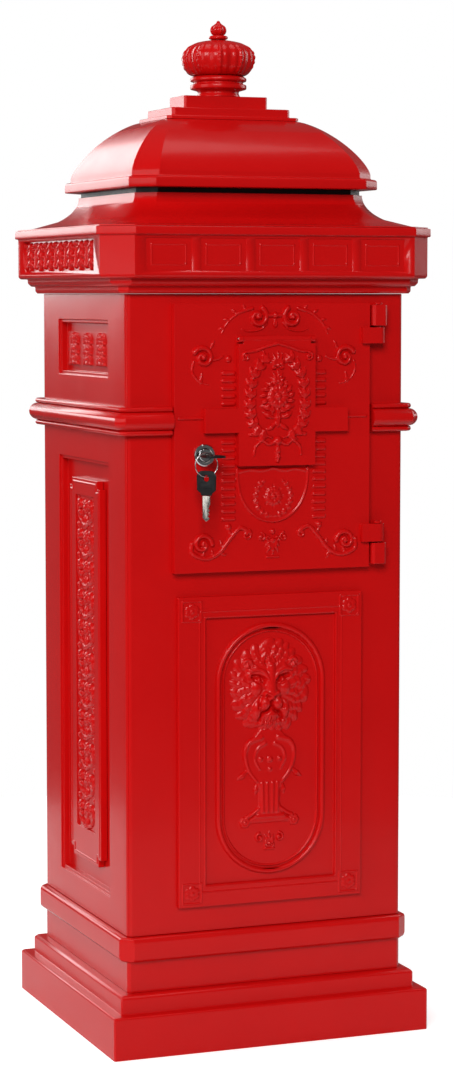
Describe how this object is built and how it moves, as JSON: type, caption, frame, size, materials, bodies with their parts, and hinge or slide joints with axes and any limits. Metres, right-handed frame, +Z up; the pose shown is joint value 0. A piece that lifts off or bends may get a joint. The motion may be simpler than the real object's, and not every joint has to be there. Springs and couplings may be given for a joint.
{
  "type": "pillar letter box",
  "caption": "Free-standing ornate letter box on a stepped base with a domed roof, a lockable door, a letter flap over the slot and keys on a ring.",
  "frame": {"origin": "middle of the foot on the ground", "axes": "+Z up; the door faces -Y; +X is to the right of someone facing the door, the side it is hinged on"},
  "size_m": [0.3532, 0.3451, 1.0238],
  "materials": {
    "red_paint": "glossy red powder coat over cast aluminium",
    "chrome": "polished",
    "bright_steel": "bright nickel-plated steel",
    "zinc_steel": "dull zinc-plated steel",
    "key_metal": "nickel silver with cut wards",
    "key_plastic": "moulded black plastic"
  },
  "bodies": {
    "cabinet": {"back_panel": "red_paint", "base_bolt_back_left": "zinc_steel", "base_bolt_back_right": "zinc_steel", "base_bolt_front_left": "zinc_steel", "base_bolt_front_right": "zinc_steel", "base_casting": "red_paint", "base_floor_plate": "zinc_steel", "corner_angle_back_left": "zinc_steel", "corner_angle_back_right": "zinc_steel", "corner_angle_front_left": "zinc_steel", "corner_angle_front_right": "zinc_steel", "cornice": "red_paint", "crown_bud": "red_paint", "crown_cushion": "red_paint", "crown_nut": "zinc_steel", "crown_pedestal": "red_paint", "crown_stud": "zinc_steel", "front_ornament_panel": "red_paint", "front_panel": "red_paint", "left_lower_ornament": "red_paint", "left_shelf_rail": "zinc_steel", "left_side_panel": "red_paint", "left_upper_ornament": "red_paint", "lid_seat": "red_paint", "lower_frame": "red_paint", "lower_hinge_lug": "red_paint", "lower_hinge_pin": "bright_steel", "lower_lug_screw": "zinc_steel", "mail_shelf": "zinc_steel", "mid_belt": "red_paint", "right_lower_ornament": "red_paint", "right_shelf_rail": "zinc_steel", "right_side_panel": "red_paint", "right_upper_ornament": "red_paint", "roof_bolt_back_left": "zinc_steel", "roof_bolt_back_right": "zinc_steel", "roof_bolt_front_left": "zinc_steel", "roof_bolt_front_right": "zinc_steel", "roof_cove": "red_paint", "roof_dome": "red_paint", "roof_plinth": "red_paint", "upper_hinge_lug": "red_paint", "upper_hinge_pin": "bright_steel", "upper_lug_screw": "zinc_steel"},
    "door": {"door_plate": "red_paint", "slot_baffle": "zinc_steel", "flap_pin": "bright_steel", "lock_housing": "chrome", "lock_nut": "zinc_steel"},
    "flap": {"slot_flap": "red_paint"},
    "lock_plug": {"lock_plug": "chrome", "lock_cam": "zinc_steel", "cam_screw": "zinc_steel"},
    "key": {"key_blade": "key_metal", "key_head": "key_plastic"},
    "key_ring": {"key_ring": "bright_steel"},
    "spare_key": {"spare_key_blade": "key_metal", "spare_key_head": "key_plastic"}
  },
  "joints": [
    {"name": "door_hinge", "type": "hinge", "parent": "cabinet", "child": "door", "pos_m": [0.116, -0.1415, 0.6065], "axis": [0, 0, 1], "range_deg": [0, 110]},
    {"name": "flap_hinge", "type": "hinge", "parent": "door", "child": "flap", "pos_m": [0.0045, -0.1472, 0.703], "axis": [-1, 0, 0], "range_deg": [0, 75]},
    {"name": "lock_turn", "type": "hinge", "parent": "door", "child": "lock_plug", "pos_m": [-0.07, -0.147, 0.5904], "axis": [0, -1, 0], "range_deg": [0, 90]},
    {"name": "key_withdraw", "type": "slide", "parent": "lock_plug", "child": "key", "axis": [0, -1, 0], "range_m": [0, 0.02]},
    {"name": "key_ring_hang", "type": "hinge", "parent": "key", "child": "key_ring", "pos_m": [-0.07, -0.1725, 0.5904], "axis": [0, -1, 0], "range_deg": [-90, 0]},
    {"name": "spare_key_swing", "type": "hinge", "parent": "key_ring", "child": "spare_key", "pos_m": [-0.0785, -0.1725, 0.57115], "axis": [1, 0, 0], "range_deg": [-30, 18]}
  ],
  "couplings": [
    {"joint": "key_ring_hang", "follows": "lock_turn", "ratio": -1}
  ]
}
